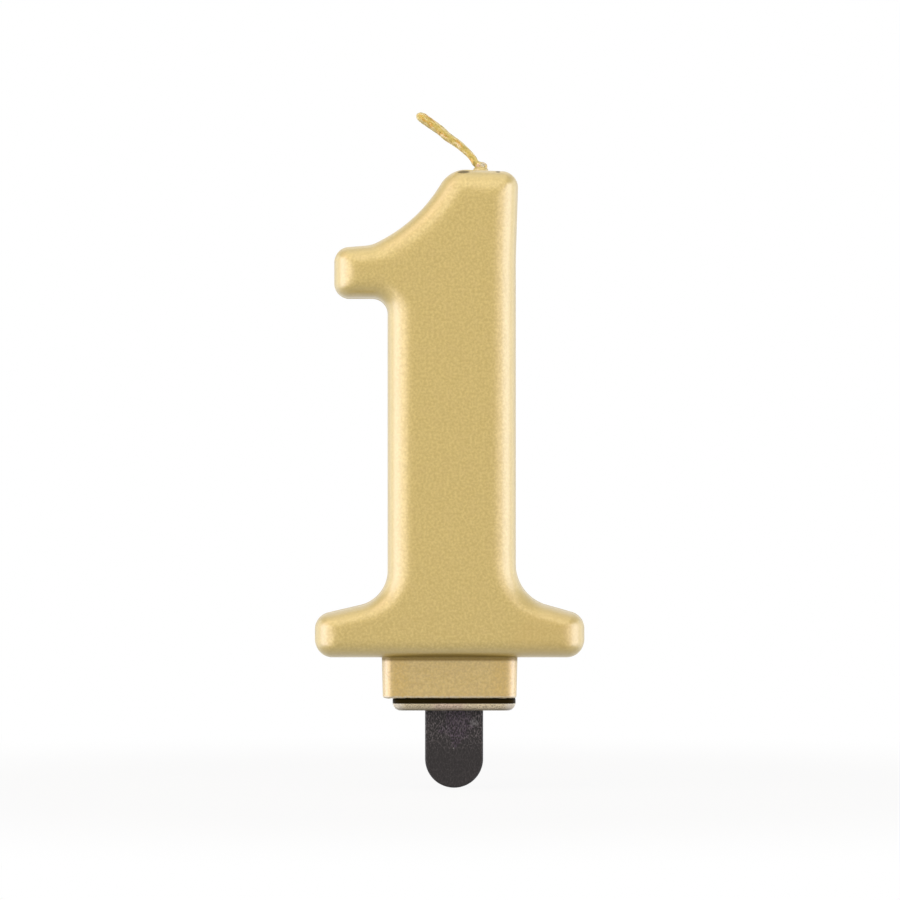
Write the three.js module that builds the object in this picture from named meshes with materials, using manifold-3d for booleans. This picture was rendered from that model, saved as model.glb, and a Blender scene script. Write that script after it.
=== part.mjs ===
// Number candle in the shape of a 1: a wax numeral on a short pedestal, its wick, and the
// plastic pick that it stands on. Sizes are millimetres, +Z is up and the front faces -Y.
// The origin is the centre of the pick's flange, on the underside that rests on the cake.

import * as THREE from 'three';
import { mergeVertices } from 'three/addons/utils/BufferGeometryUtils.js';
import Module from 'manifold-3d';

const wasm = await Module();
wasm.setup();

// Clearance between the pieces
const fitGap = 0.3;

// Numeral, from the underside of its foot to its top
const numeralHeight = 73.18;

// Foot of the numeral, a wide bar that thickens towards the stem
const footWidth = 40.4;
const footTipHeight = 6.25;
const footRiseLeft = 2.55;
const footRiseRight = 2.95;
const footCornerRadius = 2.6;
const footLowerCornerRadius = 2.7;
const footFilletLeft = 5.3;
const footFilletRight = 6.3;

// Stem, which stands a little right of the foot's centre and leans out near its top
const stemWidth = 19.2;
const stemShift = 0.31;
const stemLean = 0.4;
const stemLeanHeight = 13.6;
const stemLeanRadius = 15;

// Flag at the top left
const flagHeight = 7.6;
const flagReach = 8;
const flagCornerRadius = 2.3;
const flagFillet = 2.1;

// Hollow curve from the flag up to the top of the stem
const shoulderSetback = 2.4;
const shoulderLift = 0.45;
const shoulderFootRadius = 4.4;
const shoulderRun = 6.9;
const shoulderRise = 3.6;
const shoulderRadius = 22.5;
const beakRun = 5;
const beakRise = 7.8;
const topLeftRadius = 4.25;
const topRightRadius = 2.7;
const topFall = 0.3;

// Depth of the numeral: a drafted wall on either side of the mould's parting plane, then a
// rounded edge that runs into a flat face, wider along the top and narrower round the foot
const numeralThickness = 13;
const edgeWidth = 3.65;
const footEdgeWidth = 3;
const topEdgeWidth = 4.2;
const edgeDepth = 3.3;
const wallDraft = 0.1;
const edgeSteps = 8;
const faceCornerRadius = 0.8;

// Pedestal under the foot
const pedestalWidth = 20.4;
const pedestalDepth = 7.6;
const pedestalHeight = 6;
const pedestalCornerRadius = 1.6;
const pedestalDraft = 0.2;
const pedestalLipRadius = 0.35;
const pedestalRoot = 2;

// Wick: braided cotton in a bore down the stem, folded over to the left on top
const wickRadius = 0.76;
const wickNeckRadius = 0.48;
const wickTipRadius = 0.5;
const wickInWax = 45;
const wickInset = 5.64;
const wickSides = 12;
const wickStepsPerSpan = 4;

// Shares of the free end over which the wick swells from the fold, and narrows to its tip
const wickSwell = { from: 0.15, to: 0.8 };
const wickTaper = { from: 0.9, to: 1 };

// Free end of the wick, as steps right and up from the mouth of its bore
const wickRoute = [
  [0, 0],
  [-0.01, 0.42],
  [-0.2, 0.88],
  [-0.62, 1.25],
  [-1.05, 1.66],
  [-1.5, 2.12],
  [-2.3, 2.89],
  [-3.2, 3.7],
  [-5, 4.97],
  [-6.8, 6.45],
  [-8.6, 7.73],
  [-9.6, 8.35],
];

// Bead of wax round the mouth of the bore
const beadWall = 0.45;
const beadFlare = 0.4;
const beadHeight = 0.3;
const beadRoot = 1;
const roundSides = 24;

// Flange of the pick
const flangeWidth = 18.4;
const flangeDepth = 6.8;
const flangeThickness = 1.6;
const flangeCornerRadius = 1.5;
const flangeLowerRadius = 1;
const flangeUpperRadius = 0.15;

// Blade that goes into the cake, and the tang that goes into the candle
const bladeWidth = 8.7;
const bladeLength = 11.65;
const bladeThickness = 2;
const bladeEdgeRadius = 0.35;
const tangWidth = 6;
const tangTipWidth = 5;
const tangLength = 11;
const tangThickness = 2;
const tangNoseRadius = 1.2;
const tangEdgeRadius = 0.3;

// Pedestal and numeral sit left of the pick's centre
const candleShift = -0.67;

// Steps in each rounded corner of an outline, and in the small rounded edges
const arcSteps = 8;
const edgeRoundSteps = 4;
const leastRadius = 0.05;

// Turns a list of corners, each { x, y, radius, side }, into an outline with rounded corners.
// The corners run anticlockwise. side is the width of the rounded edge between a corner and
// the next one, and inset moves each side in by that share of its width. An outer corner
// tightens as it moves in, down to least.
function roundedOutline(corners, inset, least) {
  const sides = corners.map((corner, i) => {
    const next = corners[(i + 1) % corners.length];
    const along = new THREE.Vector2(next.x - corner.x, next.y - corner.y).normalize();
    const inward = new THREE.Vector2(-along.y, along.x);
    const through = new THREE.Vector2(corner.x, corner.y).addScaledVector(inward, inset * corner.side);
    return { along, inward, through };
  });
  const rounded = corners.map((corner, i) => {
    const before = sides[(i + corners.length - 1) % corners.length];
    const after = sides[i];
    const turn = Math.atan2(before.along.cross(after.along), before.along.dot(after.along));
    const offset = after.through.clone().sub(before.through);
    const reach = offset.cross(after.along) / before.along.cross(after.along);
    const point = before.through.clone().addScaledVector(before.along, reach);
    const width = (corner.side + corners[(i + corners.length - 1) % corners.length].side) / 2;
    const tightened = corner.radius - Math.sign(turn) * inset * width;
    const radius = Math.max(tightened, Math.min(corner.radius, least));
    return { point, turn, radius, before, after };
  });
  limitRadii(rounded);
  return rounded.flatMap(cornerArc);
}

// Shrinks each corner's radius to what the sides that meet there have room for
function limitRadii(rounded) {
  const tangents = rounded.map(({ turn, radius }) => radius * Math.tan(Math.abs(turn) / 2));
  const room = rounded.map(({ point }, i) => {
    const j = (i + 1) % rounded.length;
    return Math.min(1, point.distanceTo(rounded[j].point) / (tangents[i] + tangents[j]));
  });
  rounded.forEach((corner, i) => {
    const share = Math.min(room[i], room[(i + rounded.length - 1) % rounded.length]);
    corner.radius *= share;
  });
}

// Points along the arc that rounds one corner
function cornerArc({ point, turn, radius, before, after }) {
  const tangent = radius * Math.tan(Math.abs(turn) / 2);
  const start = point.clone().addScaledVector(before.along, -tangent);
  const centre = start.clone().addScaledVector(before.inward, Math.sign(turn) * radius);
  const spoke = start.clone().sub(centre);
  return Array.from({ length: arcSteps + 1 }, (_, step) => {
    const angle = (turn * step) / arcSteps;
    return centre.clone().add(spoke.clone().rotateAround(new THREE.Vector2(), angle));
  });
}

// Joins a stack of rings with equal counts of points into one closed solid. section is the
// outline of the end rings, anticlockwise seen from outside the last one.
function loft(rings, section) {
  const count = section.length;
  const index = [];
  for (let layer = 0; layer + 1 < rings.length; layer += 1) {
    const here = layer * count;
    const there = here + count;
    for (let i = 0; i < count; i += 1) {
      const j = (i + 1) % count;
      index.push(here + i, here + j, there + j);
      index.push(here + i, there + j, there + i);
    }
  }
  const last = (rings.length - 1) * count;
  for (const [a, b, c] of THREE.ShapeUtils.triangulateShape(section, [])) {
    index.push(c, b, a);
    index.push(last + a, last + b, last + c);
  }
  const numbers = rings.flat().flatMap((point) => point.toArray());
  const geometry = new THREE.BufferGeometry();
  geometry.setAttribute('position', new THREE.Float32BufferAttribute(numbers, 3));
  geometry.setIndex(index);
  return geometry;
}

// Quarter round from a full-size section at step 0 to a section set in by the whole width
function quarterRound(steps) {
  return Array.from({ length: steps + 1 }, (_, step) => {
    const angle = (Math.PI / 2) * (step / steps);
    return { inset: 1 - Math.cos(angle), rise: Math.sin(angle) };
  });
}

// A slab that stands on edge, with its outline seen from the front and both faces rounded
// off. depth is how far back the rounding reaches, and draft is the share of the rounding's
// width that the wall behind it already leans in by.
function slab(corners, thickness, { depth, draft, least, steps }) {
  const wall = thickness / 2 - depth;
  const half = quarterRound(steps).map(({ inset, rise }) => ({
    inset: draft + (1 - draft) * inset,
    back: wall + depth * rise,
  }));
  const stack = [
    ...half.slice().reverse(),
    { inset: 0, back: 0 },
    ...half.map(({ inset, back }) => ({ inset, back: -back })),
  ];
  const sections = stack.map(({ inset }) => roundedOutline(corners, inset, least));
  const rings = sections.map((section, i) => (
    section.map((point) => new THREE.Vector3(point.x, stack[i].back, point.y))
  ));
  return loft(rings, sections[0]);
}

// An upright block with rounded corners in plan, from a list of levels, each { z, inset },
// where inset is a distance
function block(width, depth, radius, levels) {
  const corners = [
    { x: -width / 2, y: -depth / 2, radius, side: 1 },
    { x: width / 2, y: -depth / 2, radius, side: 1 },
    { x: width / 2, y: depth / 2, radius, side: 1 },
    { x: -width / 2, y: depth / 2, radius, side: 1 },
  ];
  const sections = levels.map(({ inset }) => roundedOutline(corners, inset, leastRadius));
  const rings = sections.map((section, i) => (
    section.map((point) => new THREE.Vector3(point.x, point.y, levels[i].z))
  ));
  return loft(rings, sections[0]);
}

// A round bar along Z from a list of levels, each { z, radius }
function turnedBar(levels) {
  const first = levels[0];
  const last = levels[levels.length - 1];
  const profile = [
    new THREE.Vector2(0, first.z),
    ...levels.map(({ z, radius }) => new THREE.Vector2(radius, z)),
    new THREE.Vector2(0, last.z),
  ];
  return new THREE.LatheGeometry(profile, roundSides).rotateX(Math.PI / 2);
}

function toSolid(geometry) {
  const plain = geometry.clone();
  plain.deleteAttribute('normal');
  plain.deleteAttribute('uv');
  const merged = mergeVertices(plain);
  const mesh = new wasm.Mesh({
    numProp: 3,
    vertProperties: merged.attributes.position.array,
    triVerts: new Uint32Array(merged.index.array),
  });
  return new wasm.Manifold(mesh);
}

function toGeometry(solid) {
  const mesh = solid.getMesh();
  const geometry = new THREE.BufferGeometry();
  geometry.setAttribute('position', new THREE.BufferAttribute(mesh.vertProperties, 3));
  geometry.setIndex(new THREE.BufferAttribute(mesh.triVerts, 1));
  geometry.computeVertexNormals();
  return geometry;
}

// Heights of the seats, from the cake up
const pedestalBase = flangeThickness + fitGap;
const footBase = pedestalBase + pedestalHeight;
const candleTop = footBase + numeralHeight;

// Wax numeral, with x from the foot's centre and heights from the foot's underside
const footRootLeft = footTipHeight + footRiseLeft;
const footRootRight = footTipHeight + footRiseRight;
const stemLeft = stemShift - stemWidth / 2;
const stemRight = stemShift + stemWidth / 2;
const shoulderX = stemLeft - shoulderSetback;
const shoulderZ = numeralHeight - beakRise - shoulderRise;
const flagLeft = stemLeft - flagReach;
const flagTop = shoulderZ - shoulderLift;
const flagUnderside = flagTop - flagHeight;
const topLeft = shoulderX + shoulderRun + beakRun;
const topRight = stemRight + stemLean;

// Bore for the wick, in the middle of the top
const wickX = candleShift + topRight - wickInset;
const boreRadius = wickNeckRadius + fitGap;

function numeralCorners() {
  const side = Math.min(edgeWidth, flagHeight / 2);
  const footSide = Math.min(footEdgeWidth, footTipHeight / 2);
  const topSide = Math.min(topEdgeWidth, beakRise / 2);
  return [
    { x: -footWidth / 2, y: 0, radius: footLowerCornerRadius, side: footSide },
    { x: footWidth / 2, y: 0, radius: footLowerCornerRadius, side },
    { x: footWidth / 2, y: footTipHeight, radius: footCornerRadius, side: footSide },
    { x: stemRight, y: footRootRight, radius: footFilletRight, side },
    { x: stemRight, y: numeralHeight - stemLeanHeight, radius: stemLeanRadius, side },
    { x: topRight, y: numeralHeight - topFall, radius: topRightRadius, side: topSide },
    { x: topLeft, y: numeralHeight, radius: topLeftRadius, side },
    { x: shoulderX + shoulderRun, y: shoulderZ + shoulderRise, radius: shoulderRadius, side },
    { x: shoulderX, y: shoulderZ, radius: shoulderFootRadius, side },
    { x: flagLeft, y: flagTop, radius: flagCornerRadius, side },
    { x: flagLeft, y: flagUnderside, radius: flagCornerRadius, side },
    { x: stemLeft, y: flagUnderside, radius: flagFillet, side },
    { x: stemLeft, y: footRootLeft, radius: footFilletLeft, side: footSide },
    { x: -footWidth / 2, y: footTipHeight, radius: footCornerRadius, side },
  ];
}

function pedestal() {
  const lip = quarterRound(edgeRoundSteps).reverse().map(({ inset, rise }) => ({
    z: pedestalBase + pedestalLipRadius * (1 - rise),
    inset: pedestalDraft + pedestalLipRadius * inset,
  }));
  const root = { z: footBase + pedestalRoot, inset: 0 };
  return block(pedestalWidth, pedestalDepth, pedestalCornerRadius, [...lip, root]);
}

function wickBead() {
  const crown = boreRadius + beadWall;
  return turnedBar([
    { z: candleTop - beadRoot, radius: crown + beadFlare },
    { z: candleTop, radius: crown + beadFlare },
    { z: candleTop + beadHeight, radius: crown },
  ]);
}

function wickBore() {
  return turnedBar([
    { z: candleTop - wickInWax - fitGap, radius: boreRadius },
    { z: candleTop + beadHeight + fitGap, radius: boreRadius },
  ]);
}

function tangSlot() {
  const top = flangeThickness + tangLength + fitGap;
  const bottom = pedestalBase - fitGap;
  const box = new THREE.BoxGeometry(tangWidth + 2 * fitGap, tangThickness + 2 * fitGap, top - bottom);
  return box.translate(0, 0, (top + bottom) / 2);
}

function waxNumeral() {
  const body = slab(numeralCorners(), numeralThickness, {
    depth: edgeDepth,
    draft: wallDraft / edgeWidth,
    least: faceCornerRadius,
    steps: edgeSteps,
  });
  const solid = toSolid(body.translate(candleShift, 0, footBase))
    .add(toSolid(pedestal().translate(candleShift, 0, 0)))
    .add(toSolid(wickBead().translate(wickX, 0, 0)))
    .subtract(toSolid(wickBore().translate(wickX, 0, 0)))
    .subtract(toSolid(tangSlot()));
  return toGeometry(solid);
}

// Wick, thin where it is pinched at the fold and full along its free end
function wick() {
  const mouth = new THREE.Vector3(wickX, 0, candleTop);
  const free = wickRoute.map(([right, up]) => new THREE.Vector3(mouth.x + right, 0, mouth.z + up));
  const curve = new THREE.CatmullRomCurve3(free);
  const steps = (free.length - 1) * wickStepsPerSpan;
  const stations = Array.from({ length: steps + 1 }, (_, step) => {
    const along = step / steps;
    const swell = THREE.MathUtils.smoothstep(along, wickSwell.from, wickSwell.to);
    const taper = THREE.MathUtils.smoothstep(along, wickTaper.from, wickTaper.to);
    const full = THREE.MathUtils.lerp(wickNeckRadius, wickRadius, swell);
    return {
      centre: curve.getPoint(along),
      tangent: curve.getTangent(along),
      radius: THREE.MathUtils.lerp(full, wickTipRadius, taper),
    };
  });
  const buried = { centre: mouth.clone().setZ(mouth.z - wickInWax), tangent: new THREE.Vector3(0, 0, 1) };
  stations[0].tangent.set(0, 0, 1);
  stations.unshift({ ...buried, radius: wickNeckRadius });
  const circle = Array.from({ length: wickSides }, (_, i) => {
    const angle = (2 * Math.PI * i) / wickSides;
    return new THREE.Vector2(Math.cos(angle), Math.sin(angle));
  });
  const back = new THREE.Vector3(0, 1, 0);
  const rings = stations.map(({ centre, tangent, radius }) => {
    const across = new THREE.Vector3().crossVectors(back, tangent);
    return circle.map((p) => centre.clone()
      .addScaledVector(across, radius * p.x)
      .addScaledVector(back, radius * p.y));
  });
  return loft(rings, circle);
}

// Cake pick: flange, blade and tang in one moulding
function flange() {
  const lower = quarterRound(edgeRoundSteps).reverse().map(({ inset, rise }) => ({
    z: flangeLowerRadius * (1 - rise),
    inset: flangeLowerRadius * inset,
  }));
  const upper = quarterRound(edgeRoundSteps).map(({ inset, rise }) => ({
    z: flangeThickness - flangeUpperRadius * (1 - rise),
    inset: flangeUpperRadius * inset,
  }));
  return block(flangeWidth, flangeDepth, flangeCornerRadius, [...lower, ...upper]);
}

function pickEdge(depth) {
  return { depth, draft: 0, least: leastRadius, steps: edgeRoundSteps };
}

function blade() {
  const half = bladeWidth / 2;
  const side = bladeEdgeRadius;
  const corners = [
    { x: -half, y: -bladeLength, radius: half, side },
    { x: half, y: -bladeLength, radius: half, side },
    { x: half, y: flangeThickness / 2, radius: leastRadius, side },
    { x: -half, y: flangeThickness / 2, radius: leastRadius, side },
  ];
  return slab(corners, bladeThickness, pickEdge(side));
}

function tang() {
  const side = tangEdgeRadius;
  const top = flangeThickness + tangLength;
  const corners = [
    { x: -tangWidth / 2, y: flangeThickness / 2, radius: leastRadius, side },
    { x: tangWidth / 2, y: flangeThickness / 2, radius: leastRadius, side },
    { x: tangTipWidth / 2, y: top, radius: tangNoseRadius, side },
    { x: -tangTipWidth / 2, y: top, radius: tangNoseRadius, side },
  ];
  return slab(corners, tangThickness, pickEdge(side));
}

function cakePick() {
  const solid = toSolid(flange())
    .add(toSolid(blade()))
    .add(toSolid(tang()));
  return toGeometry(solid);
}

function piece(name, geometry, color, roughness, metalness) {
  const material = new THREE.MeshStandardMaterial({ color, roughness, metalness });
  const mesh = new THREE.Mesh(geometry, material);
  mesh.name = name;
  return mesh;
}

const candle = new THREE.Group();
candle.add(
  piece('wax_numeral', waxNumeral(), 0xcfb779, 0.45, 0.6),
  piece('wick', wick(), 0xd7b45f, 0.55, 0.5),
);

const numberCandle = new THREE.Group();
numberCandle.add(
  piece('cake_pick', cakePick(), 0x2e2b2a, 0.5, 0),
  candle,
);

export default numberCandle;
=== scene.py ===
"""Number candle in the shape of a 1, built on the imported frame: wax, plaited wick and cake pick.

Every length is in metres and every place is in the frame's own axes: +Z up, the front faces -Y.
"""

from __future__ import annotations

import logging
import math
from collections.abc import Callable, Mapping, Sequence
from dataclasses import dataclass, field
from enum import Enum

import bmesh
import bpy
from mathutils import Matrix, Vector, noise

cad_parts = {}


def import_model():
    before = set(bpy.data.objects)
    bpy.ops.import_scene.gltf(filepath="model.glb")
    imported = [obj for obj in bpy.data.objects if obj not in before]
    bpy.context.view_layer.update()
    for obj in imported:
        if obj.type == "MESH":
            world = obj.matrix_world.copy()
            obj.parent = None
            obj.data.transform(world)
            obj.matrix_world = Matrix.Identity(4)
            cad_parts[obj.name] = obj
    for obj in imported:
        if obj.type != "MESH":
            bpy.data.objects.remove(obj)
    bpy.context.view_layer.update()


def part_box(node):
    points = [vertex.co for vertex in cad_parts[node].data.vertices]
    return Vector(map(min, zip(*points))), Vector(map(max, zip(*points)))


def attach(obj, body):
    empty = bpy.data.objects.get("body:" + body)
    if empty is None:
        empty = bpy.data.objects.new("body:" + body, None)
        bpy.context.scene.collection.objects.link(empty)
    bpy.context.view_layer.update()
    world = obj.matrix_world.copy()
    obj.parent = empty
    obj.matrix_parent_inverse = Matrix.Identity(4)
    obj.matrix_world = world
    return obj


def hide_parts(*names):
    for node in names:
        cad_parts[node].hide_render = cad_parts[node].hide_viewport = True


LOG = logging.getLogger("number_candle")

MM = 0.001
UP = Vector((0.0, 0.0, 1.0))
BACK = Vector((0.0, 1.0, 0.0))
SHARP_FROM = 35.0
WHITE = (1, 1, 1, 1)

Pair = tuple[float, float]
Triple = tuple[float, float, float]
Colour = tuple[float, float, float, float]
Span = tuple[float, ...]


def mm(*values: float) -> tuple[float, ...]:
    """Millimetres as metres."""
    return tuple(value * MM for value in values)


class Cut(Enum):
    """How one solid changes another."""

    JOIN = "UNION"
    REMOVE = "DIFFERENCE"


class Signal:
    """A node socket that Python arithmetic works on: an expression adds its own nodes."""

    def __init__(self, sheet: Sheet, socket: bpy.types.NodeSocket) -> None:
        """Keeps the socket and the sheet that it belongs to."""
        self.sheet = sheet
        self.socket = socket

    @property
    def many(self) -> bool:
        """True for a colour or a vector."""
        return self.socket.type in {"RGBA", "VECTOR"}

    def _work(self, operation: str, first: Value, second: Value) -> Signal:
        """Adds the node for one operation.

        Args:
            operation: the name of a Math or Vector Math operation.
            first: the left side.
            second: the right side.

        Returns:
            The result.
        """
        sides = (first, second)
        kind = "ShaderNodeMath"
        if any(isinstance(side, Signal) and side.many for side in sides):
            kind = "ShaderNodeVectorMath"
            sides = tuple(side if isinstance(side, Signal) else spread(side) for side in sides)
        return self.sheet.node(kind, {"operation": operation}, {0: sides[0], 1: sides[1]})

    def __add__(self, other: Value) -> Signal:
        """Sum."""
        return self._work("ADD", self, other)

    def __radd__(self, other: Value) -> Signal:
        """Sum, with the socket on the right."""
        return self._work("ADD", other, self)

    def __sub__(self, other: Value) -> Signal:
        """Difference."""
        return self._work("SUBTRACT", self, other)

    def __rsub__(self, other: Value) -> Signal:
        """Difference, with the socket on the right."""
        return self._work("SUBTRACT", other, self)

    def __mul__(self, other: Value) -> Signal:
        """Product."""
        return self._work("MULTIPLY", self, other)

    def __rmul__(self, other: Value) -> Signal:
        """Product, with the socket on the right."""
        return self._work("MULTIPLY", other, self)

    def __truediv__(self, other: Value) -> Signal:
        """Quotient."""
        return self._work("DIVIDE", self, other)

    def __abs__(self) -> Signal:
        """Distance from zero."""
        return self._work("ABSOLUTE", self, 0.0)

    def least(self, other: Value) -> Signal:
        """The smaller of the two."""
        return self._work("MINIMUM", self, other)

    def most(self, other: Value) -> Signal:
        """The larger of the two."""
        return self._work("MAXIMUM", self, other)

    def ramp(self, low: float, high: float) -> Signal:
        """Eases from 0 to 1 while the signal goes from low to high."""
        inputs = {"Value": self, "From Min": low, "From Max": high}
        return self.sheet.node("ShaderNodeMapRange", {"interpolation_type": "SMOOTHSTEP"}, inputs)

    def band(self, span: Span) -> Signal:
        """Eases from 0 to 1 over the span's first two numbers, and back over its last two."""
        return self.ramp(span[0], span[1]) * self.ramp(span[3], span[2])


Value = float | Sequence[float] | Signal


def spread(value: float | Sequence[float]) -> Sequence[float]:
    """A number as three alike, or a colour as it is."""
    return (value, value, value) if isinstance(value, (int, float)) else tuple(value)[:3]


@dataclass(frozen=True)
class Fade:
    """Comes in while a signal goes from low to high, up to a share."""

    low: float
    high: float
    share: float = 1.0

    def of(self, signal: Signal) -> Signal:
        """How much shows at each value of the signal."""
        return signal.ramp(self.low, self.high) * self.share


@dataclass(frozen=True)
class Patch:
    """A soft oval patch: its middle, its half widths, and how far noise moves its edge."""

    centre: Sequence[float]
    size: Sequence[float]
    ragged: float = 0.0


class Sheet:
    """The node tree of a material or a world."""

    def __init__(self, owner: bpy.types.Material | bpy.types.World, output: str) -> None:
        """Empties the owner's tree and adds its output node.

        Args:
            owner: the material or world.
            output: the type of its output node.
        """
        owner.use_nodes = True
        self.owner = owner
        self.tree = owner.node_tree
        self.tree.nodes.clear()
        self.output = self.tree.nodes.new(output)

    @classmethod
    def material(cls, name: str) -> Sheet:
        """Makes a material of that name."""
        return cls(bpy.data.materials.new(name), "ShaderNodeOutputMaterial")

    @classmethod
    def world(cls, name: str) -> Sheet:
        """Makes a world of that name."""
        return cls(bpy.data.worlds.new(name), "ShaderNodeOutputWorld")

    def surface(self, shader: Signal) -> bpy.types.ID:
        """Links a shader to the output and gives the material or world."""
        self.tree.links.new(shader.socket, self.output.inputs["Surface"])
        return self.owner

    def node(
        self,
        kind: str,
        settings: Mapping[str, object] | None = None,
        inputs: Mapping[int | str, Value] | None = None,
        output: int | str = 0,
    ) -> Signal:
        """Adds a node, sets it and links it.

        Args:
            kind: the node's type.
            settings: the node's own settings, set before its sockets.
            inputs: the number, colour or signal for each socket, by name or by place.
            output: the socket that the signal is taken from.

        Returns:
            The chosen output.
        """
        made = self.tree.nodes.new(kind)
        for name, value in (settings or {}).items():
            setattr(made, name, value)
        for place, value in (inputs or {}).items():
            socket = made.inputs[place]
            if isinstance(value, Signal):
                self.tree.links.new(value.socket, socket)
            else:
                socket.default_value = value
        return Signal(self, made.outputs[output])

    def place(self) -> Signal:
        """The point on the surface, in metres."""
        return self.node("ShaderNodeTexCoord", output="Object")

    def axis(self, name: str) -> Signal:
        """One coordinate of the point, in metres."""
        return self.node("ShaderNodeSeparateXYZ", inputs={0: self.place()}, output=name)

    def facing(self) -> Signal:
        """1 where the surface faces the front or the back squarely, and 0 where it is edge on."""
        normal = self.node("ShaderNodeTexCoord", output="Normal")
        return abs(self.node("ShaderNodeSeparateXYZ", inputs={0: normal}, output="Y"))

    def in_sight(self) -> Signal:
        """Tells what the camera sees.

        Returns:
            1 for its own rays and those through clear surfaces or off glossy ones, 0 for others.
        """
        kinds = ("Is Camera Ray", "Is Transmission Ray", "Is Glossy Ray")
        direct, through, glossy = (self.node("ShaderNodeLightPath", output=kind) for kind in kinds)
        return direct.most(through).most(glossy)

    def blotches(self, where: Signal, size: float, detail: float) -> Signal:
        """Smooth noise, 0 to 1.

        Args:
            where: the point at which the noise is read.
            size: the blotches' width in metres.
            detail: how many finer layers are added.

        Returns:
            The noise as a number.
        """
        inputs = {"Vector": where, "Scale": 1 / size, "Detail": detail}
        return self.node("ShaderNodeTexNoise", inputs=inputs, output="Fac")

    def grain(self, size: float, detail: float = 2.0, stretch: Triple = (1, 1, 1)) -> Signal:
        """Noise over the surface. stretch is how much finer it is along each axis."""
        return self.blotches(self.place() * stretch, size, detail)

    def length(self, vector: Signal) -> Signal:
        """How long a vector is."""
        return self.node("ShaderNodeVectorMath", {"operation": "LENGTH"}, {0: vector}, "Value")

    def spot(self, patch: Patch) -> Signal:
        """Shows where a patch is.

        Args:
            patch: the patch.

        Returns:
            1 inside it and 0 outside.
        """
        away = (self.place() - patch.centre) / patch.size
        edge = self.length(away) + (self.grain(min(patch.size)) - 0.5) * patch.ragged
        return edge.ramp(1.0, 0.6)

    def layers(self, base: Value, *coats: tuple[Value, Value]) -> Signal:
        """Puts colours over one another.

        Args:
            base: the colour beneath.
            coats: each colour with how much of it shows, from the lowest up.

        Returns:
            The mixed colour.
        """
        for colour, share in coats:
            inputs = {0: share, 6: base, 7: colour}
            base = self.node("ShaderNodeMix", {"data_type": "RGBA"}, inputs, output=2)
        return base

    def bump(self, height: Value, depth: float) -> Signal:
        """A surface normal from a height of 0 to 1, where 1 stands depth metres above 0."""
        return self.node("ShaderNodeBump", inputs={"Height": height, "Distance": depth})

    def principled(self, **sockets: Value) -> bpy.types.ID:
        """Ends the tree in a Principled shader.

        Args:
            sockets: what goes in each of its sockets, with _ for a space.

        Returns:
            The material.
        """
        inputs = {name.replace("_", " "): value for name, value in sockets.items()}
        return self.surface(self.node("ShaderNodeBsdfPrincipled", inputs=inputs))


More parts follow.
